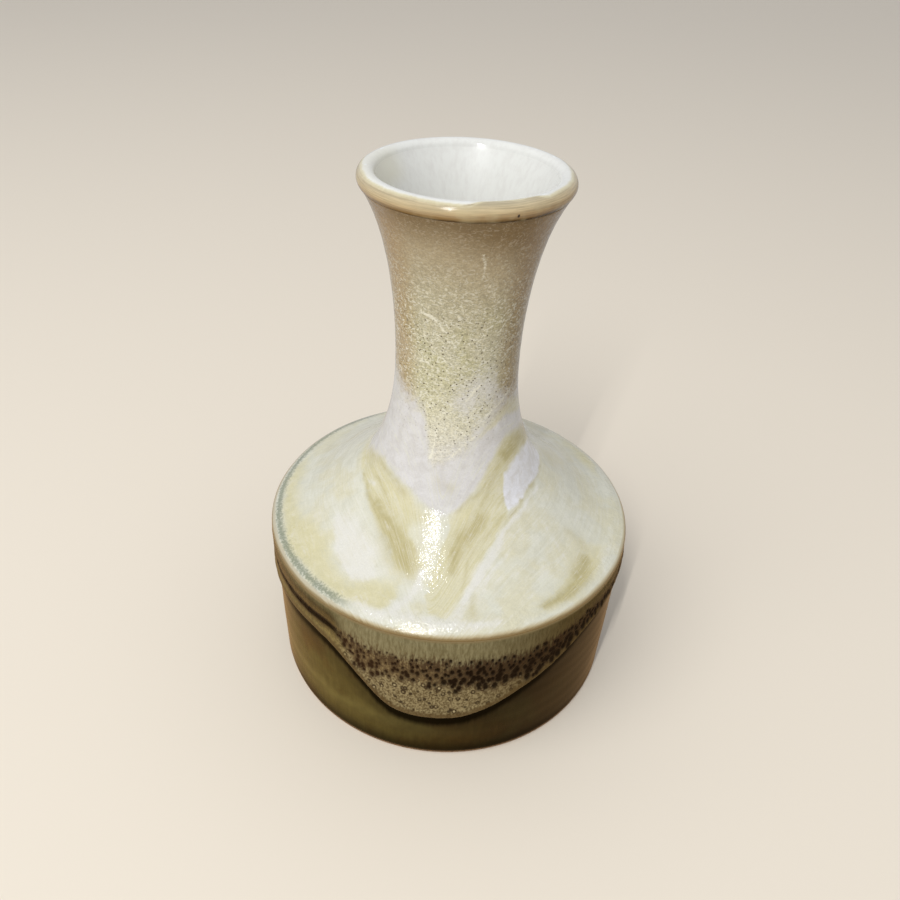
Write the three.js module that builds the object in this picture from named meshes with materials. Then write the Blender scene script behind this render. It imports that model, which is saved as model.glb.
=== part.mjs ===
import * as THREE from 'three';

// A stoneware vase: a drum-shaped body, a shoulder that sweeps up into a waisted neck, and a
// rolled lip. The fired clay is one piece, and each glaze on it is a thin solid coat of its own.
// Millimetres, +Z up, origin at the centre of the foot. The side with the long glaze run faces -Y.

// Driving dimensions of the outline, in millimetres and degrees.
const SHOULDER_RADIUS = 70;
const WALL_TAPER = 0.9;
const EDGE_HEIGHT = 67;
const EDGE_ROUND = 2.4;
const EDGE_SLOPE = 14;
const SHOULDER_MIDDLE_RADIUS = 50.4;
const SHOULDER_MIDDLE_SLOPE = 36;
const NECK_ROOT_RADIUS = 33.6;
const NECK_ROOT_SLOPE = 40;
const WAIST_RADIUS = 21.7;
const WAIST_HEIGHT = 135.6;
const LIP_RADIUS = 30.7;
const LIP_HEIGHT = 198;
const LIP_BEAD = 3;
const CREASE_ANGLE = -46;
const NECK_TOP_SLOPE = 57.9;

// How the neck curves: shares of the way to the corner, and reaches along the end directions.
const ROOT_PULL = 0.2;
const WAIST_PULL = 0.75;
const WAIST_REACH = 1.4;
const FLARE_REACH = 22.9;

// Driving dimensions of the wall, the inside and the foot.
const WALL_THICKNESS = 5.8;
const LIP_INNER_ANGLE = 162;
const FLOOR_HEIGHT = 8;
const FLOOR_ROUND = 5;
const CAVITY_CORNER_DROP = 7;
const CAVITY_CORNER_PULL = 0.6;
const FOOT_ROUND = 1;
const FOOT_RING_INNER_RADIUS = 56;
const FOOT_RECESS = 2;

// The glaze coats. The overflow is a second, thinner coat that lies on the wall's glaze.
const COAT = 1;
const OVERFLOW_COAT = 0.5;
const OVERFLOW_CLEARANCE = 0.02;
const GLAZE_LINE_HEIGHT = 1.8;

// The overflow's lower edge: a slightly tilted shelf, a long tongue in front and one behind.
const SHELF_HEIGHT = 53.5;
const SHELF_TILT = 4.5;
const FRONT_TONGUE = { azimuth: -3, tip: 23.3, left: [24.5, 3], right: [39, 2.1] };
const REAR_TONGUE = { azimuth: 158, tip: 38, left: [30, 2], right: [30, 2] };

const TURN_SEGMENTS = 48;
const FULL_TURN = 360;
const HALF_TURN = 180;
const DEGREE = Math.PI / HALF_TURN;

function at(radius, height) {
  return new THREE.Vector2(radius, height);
}

function direction(angle) {
  return at(Math.cos(angle * DEGREE), Math.sin(angle * DEGREE));
}

// An outline is a list of points in the turning plane, each with the normal that faces away from
// the clay. Outlines run up the outside and down the inside, so the normal is right of travel.
function sample(curve, steps) {
  const outline = [];
  for (let i = 0; i <= steps; i += 1) {
    const tangent = curve.getTangent(i / steps);
    outline.push({ point: curve.getPoint(i / steps), normal: at(tangent.y, -tangent.x) });
  }
  return outline;
}

function arc(centre, radius, fromAngle, toAngle, steps) {
  const outline = [];
  for (let i = 0; i <= steps; i += 1) {
    const normal = direction(fromAngle + (toAngle - fromAngle) * i / steps);
    outline.push({ point: centre.clone().addScaledVector(normal, radius), normal });
  }
  return outline;
}

// A stretch whose rise over run changes evenly between two radii.
function sweep(start, startSlope, endRadius, endSlope, steps) {
  const run = start.x - endRadius;
  const startRise = Math.tan(startSlope * DEGREE);
  const endRise = Math.tan(endSlope * DEGREE);
  const control = at(start.x - run / 2, start.y + startRise * run / 2);
  const end = at(endRadius, start.y + (startRise + endRise) * run / 2);
  return sample(new THREE.QuadraticBezierCurve(start, control, end), steps);
}

// Joins stretches end to end, keeping one sample where two meet.
function chain(...stretches) {
  return stretches.reduce((whole, next) => whole.concat(next.slice(1)));
}

// The points of an outline, moved towards the clay by a depth.
function layer(outline, depth) {
  return outline.map(({ point, normal }) => point.clone().addScaledVector(normal, -depth));
}

function last(outline) {
  return outline[outline.length - 1];
}

// The outside of the vase, from the shoulder's edge up to the crest of the lip.
const waist = at(WAIST_RADIUS, WAIST_HEIGHT);
const lipCentre = at(LIP_RADIUS, LIP_HEIGHT);

function neckRoot(start) {
  const rise = (start.x - WAIST_RADIUS) * Math.tan(NECK_ROOT_SLOPE * DEGREE);
  const corner = at(WAIST_RADIUS, start.y + rise);
  const leave = start.clone().lerp(corner, ROOT_PULL);
  const arrive = waist.clone().lerp(corner, WAIST_PULL);
  return sample(new THREE.CubicBezierCurve(start, leave, arrive, waist), 6);
}

function neckFlare() {
  const crease = lipCentre.clone().addScaledVector(direction(CREASE_ANGLE), LIP_BEAD);
  const leave = at(WAIST_RADIUS, WAIST_HEIGHT + WAIST_REACH);
  const arrive = crease.clone().addScaledVector(direction(NECK_TOP_SLOPE), -FLARE_REACH);
  return sample(new THREE.CubicBezierCurve(waist, leave, arrive, crease), 6);
}

const edgeCentre = at(SHOULDER_RADIUS - EDGE_ROUND, EDGE_HEIGHT);
const edge = arc(edgeCentre, EDGE_ROUND, 0, 90 - EDGE_SLOPE, 3);
const outerShoulder = sweep(
  last(edge).point, EDGE_SLOPE, SHOULDER_MIDDLE_RADIUS, SHOULDER_MIDDLE_SLOPE, 3);
const innerShoulder = sweep(
  last(outerShoulder).point, SHOULDER_MIDDLE_SLOPE, NECK_ROOT_RADIUS, NECK_ROOT_SLOPE, 2);
const root = neckRoot(last(innerShoulder).point);
const flare = neckFlare();
const lipOutside = arc(lipCentre, LIP_BEAD, CREASE_ANGLE, 90, 4);

// Two glazes end on one face at the crease, so both outlines get the mean normal there.
const creaseNormal = last(flare).normal.clone().add(lipOutside[0].normal).normalize();
last(flare).normal = creaseNormal;
lipOutside[0].normal = creaseNormal;

const shoulderAndNeck = chain(edge, outerShoulder, innerShoulder, root, flare);

// The cavity follows the outside from the lip down to the shoulder's underside.
function facingInwards(outline) {
  const reversed = outline.slice().reverse();
  return reversed.map(({ point, normal }) => ({
    point: point.clone().addScaledVector(normal, -WALL_THICKNESS),
    normal: normal.clone().negate(),
  }));
}

const cavityRadius = SHOULDER_RADIUS - WALL_THICKNESS;
const lipInside = arc(lipCentre, LIP_BEAD, 90, LIP_INNER_ANGLE, 2);
const neckBore = facingInwards(
  chain(outerShoulder.slice(1), innerShoulder, root, flare.slice(0, -1)));

// The rounded corner between the shoulder's underside and the drum's inner wall.
function cavityCorner({ point, normal }) {
  const end = at(cavityRadius, point.y - CAVITY_CORNER_DROP);
  const reach = (cavityRadius - point.x) * CAVITY_CORNER_PULL;
  const leave = point.clone().addScaledVector(at(-normal.y, normal.x), reach);
  const arrive = at(cavityRadius, end.y + CAVITY_CORNER_DROP * CAVITY_CORNER_PULL);
  return sample(new THREE.CubicBezierCurve(point, leave, arrive, end), 3);
}

function cavityFloor() {
  const centre = at(cavityRadius - FLOOR_ROUND, FLOOR_HEIGHT + FLOOR_ROUND);
  const round = arc(centre, FLOOR_ROUND, 0, -90, 2);
  for (const { normal } of round) {
    normal.negate();
  }
  return [...round, { point: at(0, FLOOR_HEIGHT), normal: at(0, 1) }];
}

const cavity = [
  ...lipInside,
  ...neckBore,
  ...cavityCorner(last(neckBore)).slice(1),
  ...cavityFloor(),
];

// The wall is a cone, so every layer of it lies on flat facets between the same turns.
function wallPoint(height, depth) {
  const fall = (EDGE_HEIGHT - height) / EDGE_HEIGHT;
  return at(SHOULDER_RADIUS - depth - WALL_TAPER * fall, height);
}

function ceramic(color, roughness) {
  return new THREE.MeshStandardMaterial({ color, roughness, metalness: 0 });
}

function turned(name, points, material) {
  const mesh = new THREE.Mesh(new THREE.LatheGeometry(points, TURN_SEGMENTS), material);
  mesh.name = name;
  return mesh;
}

function turnedRing(name, points, material) {
  return turned(name, [...points, points[0].clone()], material);
}

function coat(name, outline, material) {
  return turnedRing(name, [...layer(outline, 0), ...layer(outline, COAT).reverse()], material);
}

function clayBody() {
  const footCentre = at(wallPoint(FOOT_ROUND, COAT).x - FOOT_ROUND, FOOT_ROUND);
  return turned('clay_body', [
    at(0, FOOT_RECESS),
    at(FOOT_RING_INNER_RADIUS - FOOT_RECESS, FOOT_RECESS),
    at(FOOT_RING_INNER_RADIUS, 0),
    ...layer(arc(footCentre, FOOT_ROUND, -90, 0, 3), 0),
    wallPoint(GLAZE_LINE_HEIGHT, COAT),
    ...layer(chain(shoulderAndNeck, lipOutside), COAT),
    ...layer(cavity, COAT).slice(1),
  ], ceramic(0x8a6a48, 0.9));
}

function linerGlaze() {
  const points = [...layer(cavity, COAT).reverse(), ...layer(cavity, 0)];
  return turned('liner_glaze', points, ceramic(0xdededa, 0.2));
}

function wallGlaze() {
  return turnedRing('wall_glaze', [
    wallPoint(GLAZE_LINE_HEIGHT, OVERFLOW_COAT),
    wallPoint(EDGE_HEIGHT, OVERFLOW_COAT),
    wallPoint(EDGE_HEIGHT, COAT),
    wallPoint(GLAZE_LINE_HEIGHT, COAT),
  ], ceramic(0x5f5a32, 0.15));
}

function wrapped(angle) {
  return (angle + FULL_TURN + HALF_TURN) % FULL_TURN - HALF_TURN;
}

// How far a tongue hangs at an azimuth, as a share of its full drop. Each side of it has a width
// in degrees and a power that makes its flank steeper.
function tongueHang(tongue, azimuth) {
  const angle = wrapped(azimuth - tongue.azimuth);
  const [width, power] = angle < 0 ? tongue.left : tongue.right;
  return Math.exp(-((Math.abs(angle) / width) ** power));
}

// Azimuth is in degrees: 0 at -Y, growing towards +X.
function overflowEdgeHeight(azimuth) {
  const shelf = SHELF_HEIGHT + SHELF_TILT * Math.sin(azimuth * DEGREE);
  const frontDrop = (shelf - FRONT_TONGUE.tip) * tongueHang(FRONT_TONGUE, azimuth);
  const rearDrop = (shelf - REAR_TONGUE.tip) * tongueHang(REAR_TONGUE, azimuth);
  return shelf - frontDrop - rearDrop;
}

function overflowSection(azimuth) {
  const low = overflowEdgeHeight(azimuth);
  const high = EDGE_HEIGHT - OVERFLOW_CLEARANCE;
  const depth = OVERFLOW_COAT - OVERFLOW_CLEARANCE;
  return [wallPoint(low, 0), wallPoint(high, 0), wallPoint(high, depth), wallPoint(low, depth)];
}

// Joins each turn step's four-cornered section to the next, all the way round.
function overflowGlaze() {
  const positions = [];
  const indices = [];
  for (let i = 0; i < TURN_SEGMENTS; i += 1) {
    const azimuth = wrapped(i / TURN_SEGMENTS * FULL_TURN);
    const angle = i / TURN_SEGMENTS * Math.PI * 2;
    for (const { x, y } of overflowSection(azimuth)) {
      positions.push(x * Math.sin(angle), y, x * Math.cos(angle));
    }
    const next = (i + 1) % TURN_SEGMENTS;
    for (let corner = 0; corner < 4; corner += 1) {
      const after = (corner + 1) % 4;
      indices.push(4 * i + corner, 4 * next + corner, 4 * next + after);
      indices.push(4 * i + corner, 4 * next + after, 4 * i + after);
    }
  }
  const geometry = new THREE.BufferGeometry();
  geometry.setAttribute('position', new THREE.Float32BufferAttribute(positions, 3));
  geometry.setIndex(indices);
  geometry.computeVertexNormals();
  const mesh = new THREE.Mesh(geometry, ceramic(0x96855a, 0.5));
  mesh.name = 'overflow_glaze';
  return mesh;
}

// Turned pieces stand along +Y, so the whole vase is tipped up to stand along +Z.
const vase = new THREE.Group();
vase.rotation.x = Math.PI / 2;
vase.add(clayBody());
vase.add(linerGlaze());
vase.add(coat('lip_glaze', lipOutside, ceramic(0xc0a06a, 0.28)));
vase.add(coat('neck_and_shoulder_glaze', shoulderAndNeck, ceramic(0xcdc6a4, 0.25)));
vase.add(wallGlaze());
vase.add(overflowGlaze());

export default vase;
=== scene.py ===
import math

import bpy
import numpy as np
from mathutils import Matrix, Vector


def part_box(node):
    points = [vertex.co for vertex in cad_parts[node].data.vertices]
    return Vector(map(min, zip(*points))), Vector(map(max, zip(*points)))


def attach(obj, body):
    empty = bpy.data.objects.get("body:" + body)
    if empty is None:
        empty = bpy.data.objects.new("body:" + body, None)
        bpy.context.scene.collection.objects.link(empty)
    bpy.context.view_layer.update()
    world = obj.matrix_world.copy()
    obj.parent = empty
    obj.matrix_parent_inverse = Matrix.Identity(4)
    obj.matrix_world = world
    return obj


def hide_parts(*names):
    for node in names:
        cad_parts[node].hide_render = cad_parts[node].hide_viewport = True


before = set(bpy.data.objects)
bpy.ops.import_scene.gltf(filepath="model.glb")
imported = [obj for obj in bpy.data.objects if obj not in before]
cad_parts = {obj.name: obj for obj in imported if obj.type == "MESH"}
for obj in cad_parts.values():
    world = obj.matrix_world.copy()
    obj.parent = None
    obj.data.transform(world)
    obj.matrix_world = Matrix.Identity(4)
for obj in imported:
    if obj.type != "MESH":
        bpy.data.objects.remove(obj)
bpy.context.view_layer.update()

# Lengths on the vase are millimetres until a mesh is made, and those of the stage are metres.
# Angles are degrees. Azimuth is 0 at -Y, where the long glaze tongue hangs, and grows towards +X.
MM = 0.001
DEG = math.pi / 180

# Places read from the parts in model.glb.
SHOULDER_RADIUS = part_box("neck_and_shoulder_glaze")[1].x / MM
EDGE_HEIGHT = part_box("neck_and_shoulder_glaze")[0].z / MM
GLAZE_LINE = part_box("wall_glaze")[0].z / MM
CLAY_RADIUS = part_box("clay_body")[1].x / MM
LINER_THICKNESS = 1.0
FLOOR_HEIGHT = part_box("liner_glaze")[0].z / MM + LINER_THICKNESS
TOP_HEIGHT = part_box("lip_glaze")[1].z / MM

# The shape between those places.
WALL_TAPER = 0.9
EDGE_ROUND = 2.4
EDGE_SLOPE = 14
SHOULDER_MIDDLE = 50.4
SHOULDER_MIDDLE_SLOPE = 36
NECK_ROOT = 33.6
NECK_ROOT_SLOPE = 40
WAIST = np.array([21.7, 135.6])
LIP_BEAD = 3.0
LIP_CENTRE = np.array([30.7, TOP_HEIGHT - LIP_BEAD])
CREASE_ANGLE = -46
LINER_END_ANGLE = 158
CAVITY_LIP_POINTS = 16
NECK_TOP_SLOPE = 57.9
# How far the neck's curves follow their end slopes: shares at its root, lengths at its flare.
ROOT_HANDLES = (0.2, 0.75)
FLARE_HANDLES = (1.4, 22.9)
WALL_THICKNESS = 5.8
FLOOR_ROUND = 5
BORE_CORNER_DROP = 7
COAT = SHOULDER_RADIUS - CLAY_RADIUS
FOOT_ROUND = 1.0
FOOT_RECESS = 2.0
FOOT_GROOVE = [(53.5, FOOT_RECESS), (55.4, FOOT_RECESS), (54.8, 0.0), (56.6, 0.0)]

# The fineness of the meshes. A hidden inner face has one row for several of the outer face's.
COLUMNS = 480
CLAY_COLUMNS = 360
ROW_STEP = 0.75
INNER_STEP = 12


# ---- outlines

def direction(angle):
    return np.array([math.cos(angle * DEG), math.sin(angle * DEG)])


def arc(centre, radius, start, end, count):
    turn = np.linspace(start, end, count) * DEG
    return centre + radius * np.stack([np.cos(turn), np.sin(turn)], -1)


def bezier(points, count):
    t = np.linspace(0, 1, count)[:, None]
    while len(points) > 1:
        points = [a * (1 - t) + b * t for a, b in zip(points, points[1:])]
    return points[0]


def sweep(start, start_slope, end_radius, end_slope, count):
    """A stretch whose rise over run changes evenly between two radii."""
    run = start[0] - end_radius
    low, high = math.tan(start_slope * DEG), math.tan(end_slope * DEG)
    share = np.linspace(0, 1, count)
    rise = run * (low * share + (high - low) * share ** 2 / 2)
    return np.stack([start[0] - run * share, start[1] + rise], -1)


def even(points, step):
    """The same line with points at an even spacing along it."""
    along = path_length(points)
    count = max(2, int(round(along[-1] / step)) + 1)
    wanted = np.linspace(0, along[-1], count)
    return np.stack([np.interp(wanted, along, points[:, k]) for k in (0, 1)], -1)


def path_length(points):
    return np.concatenate([[0], np.cumsum(np.linalg.norm(np.diff(points, axis=0), axis=1))])


def normals(points):
    """Unit normals to the right of travel: away from the clay when a line runs up the outside."""
    tangent = np.gradient(points, axis=0)
    normal = np.stack([tangent[:, 1], -tangent[:, 0]], -1)
    return normal / np.linalg.norm(normal, axis=1, keepdims=True)


def edge_outline():
    centre = np.array([SHOULDER_RADIUS - EDGE_ROUND, EDGE_HEIGHT])
    return arc(centre, EDGE_ROUND, 0, 90 - EDGE_SLOPE, 24)


def shoulder_outline():
    outer = sweep(edge_outline()[-1], EDGE_SLOPE, SHOULDER_MIDDLE, SHOULDER_MIDDLE_SLOPE, 60)
    inner = sweep(outer[-1], SHOULDER_MIDDLE_SLOPE, NECK_ROOT, NECK_ROOT_SLOPE, 60)
    return np.vstack([outer, inner[1:]])


def neck_outline():
    start = shoulder_outline()[-1]
    rise = (start[0] - WAIST[0]) * math.tan(NECK_ROOT_SLOPE * DEG)
    corner = np.array([WAIST[0], start[1] + rise])
    low, high = ROOT_HANDLES
    root = [start, start + low * (corner - start), WAIST + high * (corner - WAIST), WAIST]
    crease = LIP_CENTRE + LIP_BEAD * direction(CREASE_ANGLE)
    low, high = FLARE_HANDLES
    flare = [WAIST, WAIST + [0, low], crease - high * direction(NECK_TOP_SLOPE), crease]
    return np.vstack([bezier(root, 90), bezier(flare, 90)[1:]])


def neck_and_shoulder_outline():
    return np.vstack([edge_outline(), shoulder_outline()[1:], neck_outline()[1:]])


def cavity_outline():
    """The inside, from the lip's inner side down to the middle of the floor."""
    lip = arc(LIP_CENTRE, LIP_BEAD, 90, LINER_END_ANGLE, CAVITY_LIP_POINTS)
    outside = np.vstack([shoulder_outline()[14:], neck_outline()[1:]])
    bore = (outside - WALL_THICKNESS * normals(outside))[::-1]
    bore = bore[bore[:, 1] < lip[-1, 1] - 0.3]
    radius = SHOULDER_RADIUS - WALL_THICKNESS
    low = bore[-1, 1] - BORE_CORNER_DROP
    corner = bezier([bore[-1], np.array([radius, bore[-1, 1] - 1.5]), np.array([radius, low])], 12)
    floor = arc(np.array([radius - FLOOR_ROUND, FLOOR_HEIGHT + FLOOR_ROUND]), FLOOR_ROUND, 0, -90, 10)
    return np.vstack([lip, bore, corner[1:], floor, [[0.01, FLOOR_HEIGHT]]])


def wall_radius(height, depth=0.0):
    """The drum's radius at a height and at a depth under its glazed surface."""
    return SHOULDER_RADIUS - depth - WALL_TAPER * (EDGE_HEIGHT - height) / EDGE_HEIGHT


# ---- smooth noise for the relief

NOISE_ROWS = 64
NOISE_ROWS_BELOW_ZERO = 8


def lattice_noise(azimuth, height, around, tall, seed):
    """Smooth noise from -1 to 1 that joins up round the vase, with cells of given size."""
    rng = np.random.default_rng(seed)
    grid = rng.uniform(-1, 1, (NOISE_ROWS, around))
    u = (azimuth / 360 % 1) * around
    v = np.clip(height / tall + NOISE_ROWS_BELOW_ZERO, 0, NOISE_ROWS - 2.001)
    i, j = np.floor(u).astype(int), np.floor(v).astype(int)
    a, b = u - i, v - j
    a, b = a * a * (3 - 2 * a), b * b * (3 - 2 * b)
    i0, i1 = i % around, (i + 1) % around
    low = grid[j, i0] * (1 - a) + grid[j, i1] * a
    high = grid[j + 1, i0] * (1 - a) + grid[j + 1, i1] * a
    return low * (1 - b) + high * b


def noises(azimuth, height, *parts):
    """Several smooth noises added up: parts are (strength, cells round, cell height, seed)."""
    return sum(strength * lattice_noise(azimuth, height, *rest) for strength, *rest in parts)


def smoothstep(value, low, high):
    share = np.clip((value - low) / (high - low), 0, 1)
    return share * share * (3 - 2 * share)


def wrapped(angle):
    return (angle + 540) % 360 - 180


def placed(azimuth, radius, height):
    """Points at given azimuths, radii and heights."""
    turn = azimuth * DEG
    return np.stack([radius * np.sin(turn), -radius * np.cos(turn), height], -1)


# ---- strokes of glaze

STROKE_SHARPNESS = 1.7
STROKE_END_FADE = 12


class Skin:
    """A turned surface on which a place is an azimuth and a distance or angle along its outline."""

    def __init__(self, outline, along):
        self.outline = outline
        self.along = along

    def at(self, azimuth, along):
        radius, height = (np.interp(along, self.along, self.outline[:, k]) for k in (0, 1))
        return placed(azimuth, radius, height)


def smooth_line(values, count):
    """Catmull-Rom values between the given ones."""
    values = np.asarray(values, float)
    padded = np.vstack([2 * values[0] - values[1], values, 2 * values[-1] - values[-2]])
    t = np.linspace(0, len(values) - 1, count)
    i = np.minimum(t.astype(int), len(values) - 2)
    u = (t - i)[:, None]
    a, b, c, d = padded[i], padded[i + 1], padded[i + 2], padded[i + 3]
    return 0.5 * (2 * b + (c - a) * u + (2 * a - 5 * b + 4 * c - d) * u ** 2
                  + (3 * b - a - 3 * c + d) * u ** 3)


def stroke(skin, places, line, width, strength=1.0):
    """How much of a stroke covers each place: 1 on its line and falling off over its width."""
    samples = max(24, 10 * len(line))
    curve = smooth_line(line, samples)
    widths = np.interp(np.linspace(0, 1, samples), np.linspace(0, 1, np.size(width)), np.ravel(width))
    ends = np.linspace(0, 1, samples)
    fade = np.minimum(1, STROKE_END_FADE * np.minimum(ends + 0.03, 1.03 - ends))
    marks = skin.at(curve[:, 0], curve[:, 1])
    flat = places.reshape(-1, 3)
    gaps = (flat ** 2).sum(1)[:, None] + (marks ** 2).sum(1) - 2 * flat @ marks.T
    reach = np.sqrt(np.maximum(gaps, 0)) / widths
    cover = fade * np.exp(-reach ** STROKE_SHARPNESS)
    return strength * cover.max(1).reshape(places.shape[:2])


def strokes(skin, azimuth, along, lines, sway=1.0):
    """The strongest of several strokes at each place of a grid, with their lines swayed by noise."""
    around = np.broadcast_to(azimuth, along.shape)
    shifts = [noises(around, along, (1, 34, 7, seed), (0.5, 110, 2.6, seed + 3)) for seed in (61, 62, 63)]
    places = skin.at(around, along) + sway * np.stack(shifts, -1)
    cover = np.zeros(along.shape)
    for line, width, strength in lines:
        cover = np.maximum(cover, stroke(skin, places, line, width, strength))
    return cover


def rear_place(azimuth):
    """The azimuth in front that a place round the rear tongue repeats, mirrored and narrower."""
    return FLOW_MIDDLE + wrapped(REAR_MIDDLE - azimuth) / REAR_NARROWING


def echoed(lines):
    """The same strokes again round the rear tongue, mirrored and a little narrower."""
    turned_lines = []
    for line, width, strength in lines:
        moved = [(REAR_MIDDLE - REAR_NARROWING * (azimuth - FLOW_MIDDLE), along) for azimuth, along in line]
        turned_lines.append((moved, width, strength))
    return turned_lines


def behind(azimuth):
    """1 round the rear tongue and 0 in front."""
    return smoothstep(np.abs(wrapped(azimuth - REAR_MIDDLE)), 62, 40)


def both_sides(table, azimuth):
    """A value given at azimuths in front, read all the way round the vase."""
    places, values = zip(*table)
    front = np.interp(wrapped(azimuth), places, values)
    rear = np.interp(rear_place(azimuth), places, values)
    return front + (rear - front) * behind(azimuth)


def band_cover(table, azimuth, along, soft):
    """How much of a band, given as (azimuth, lowest, highest), lies over each place."""
    places, low, high = zip(*table)
    above = along - np.interp(azimuth, places, low)
    below = np.interp(azimuth, places, high) - along
    return smoothstep(above, -soft[0], soft[0]) * smoothstep(below, -soft[1], soft[1])


def bands(tables, azimuth, along, soft):
    """The bands in front and, mirrored, behind, with their borders swayed by noise."""
    sway = noises(azimuth, along, (2.2, 40, 6, 71), (1.0, 130, 2.2, 72))
    lift = noises(azimuth, along, (1.2, 30, 7, 73), (0.5, 120, 2.2, 74))
    front, rear = wrapped(azimuth) + sway, rear_place(azimuth) + sway
    total = np.zeros(along.shape)
    for table in tables:
        for places, share in ((front, 1 - behind(azimuth)), (rear, behind(azimuth))):
            total = np.maximum(total, band_cover(table, places, along + lift, soft) * share)
    return total


# ---- meshes

def even_columns(count):
    return np.arange(count) * 360 / count


def dense_columns(front_half, front_step, rest_step):
    """Azimuths all the way round, close together in front and wider apart behind."""
    front = np.arange(-front_half, front_half, front_step)
    rest_count = int((360 - 2 * front_half) / rest_step)
    rest = front_half + np.arange(rest_count) * (360 - 2 * front_half) / rest_count
    return np.concatenate([front, rest])


def turned(points, azimuth):
    """Rows of points (radius, height), turned to the azimuths: an array of rows by columns."""
    if points.ndim == 2:
        points = np.repeat(points[:, None, :], len(azimuth), 1)
    return placed(azimuth, points[..., 0], points[..., 1])


def build(name, grid, attributes, closed=True):
    """A mesh from a grid of points. Rows join round when closed, or else end in two poles."""
    rows, columns = grid.shape[:2]
    points = grid.reshape(-1, 3)
    index = np.arange(rows * columns).reshape(rows, columns)
    right = np.roll(index, -1, 1)
    if closed:
        lower, upper = index, np.roll(index, -1, 0)
        lower_right, upper_right = right, np.roll(right, -1, 0)
    else:
        lower, upper, lower_right, upper_right = index[:-1], index[1:], right[:-1], right[1:]
    quads = np.stack([lower, lower_right, upper_right, upper], -1).reshape(-1, 4)
    faces = quads.tolist()
    if not closed:
        poles = [[0, 0, points[0, 2]], [0, 0, points[-1, 2]]]
        first, second = len(points), len(points) + 1
        points = np.vstack([points, poles])
        faces += [[first, b, a] for a, b in zip(index[0], right[0])]
        faces += [[second, a, b] for a, b in zip(index[-1], right[-1])]
    mesh = bpy.data.meshes.new(name)
    mesh.from_pydata((points * MM).tolist(), [], faces)
    mesh.polygons.foreach_set("use_smooth", [True] * len(mesh.polygons))
    for key, values in attributes.items():
        flat = np.broadcast_to(values, (rows, columns)).reshape(-1)
        if not closed:
            flat = np.concatenate([flat, [flat[0], flat[-1]]])
        layer = mesh.attributes.new(key, "FLOAT", "POINT")
        layer.data.foreach_set("value", np.ascontiguousarray(flat, dtype=np.float32))
    mesh.update()
    piece = bpy.data.objects.new(name, mesh)
    bpy.context.scene.collection.objects.link(piece)
    return piece


def finish_piece(piece, material, node):
    piece.data.materials.append(material)
    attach(piece, "root")
    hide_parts(node)


def push(points, normal, amount):
    """Rows of an outline moved along its normals by an amount for each row and column."""
    return points[:, None, :] + normal[:, None, :] * amount[..., None]


# ---- shader helpers

def linear(red, green, blue):
    """A colour given as 0 to 255 on screen, as the linear value that shaders use."""
    def channel(value):
        value = value / 255
        return value / 12.92 if value <= 0.04045 else ((value + 0.055) / 1.055) ** 2.4
    return (channel(red), channel(green), channel(blue), 1.0)


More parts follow.
